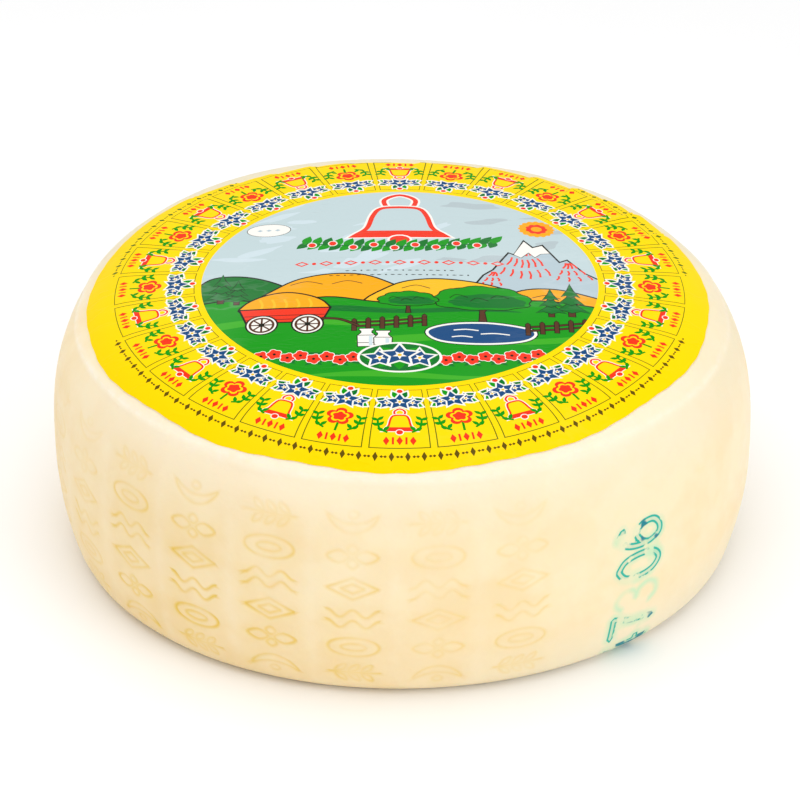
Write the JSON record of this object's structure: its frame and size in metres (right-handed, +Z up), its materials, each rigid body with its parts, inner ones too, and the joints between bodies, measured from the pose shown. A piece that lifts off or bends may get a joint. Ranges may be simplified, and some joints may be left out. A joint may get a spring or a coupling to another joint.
{
  "type": "asiago cheese wheel",
  "caption": "Whole uncut wheel of pressed cheese with a domed top, bulging sides, a flat base and a round printed label draped over the top.",
  "frame": {"origin": "middle of the footprint, on the plane that the wheel rests on", "axes": "+Z up through the middle of the wheel, -Y towards the side that the picture shows, +X to that view's right"},
  "size_m": [0.354, 0.346, 0.1425],
  "materials": {
    "rind": "smooth waxy pale cream rind with a soft sheen, embossed in columns and stamped with ink",
    "label_film": "glossy, slightly wrinkled printed film"
  },
  "bodies": {
    "root": {"cheese_wheel": "rind", "label": "label_film"}
  },
  "joints": []
}
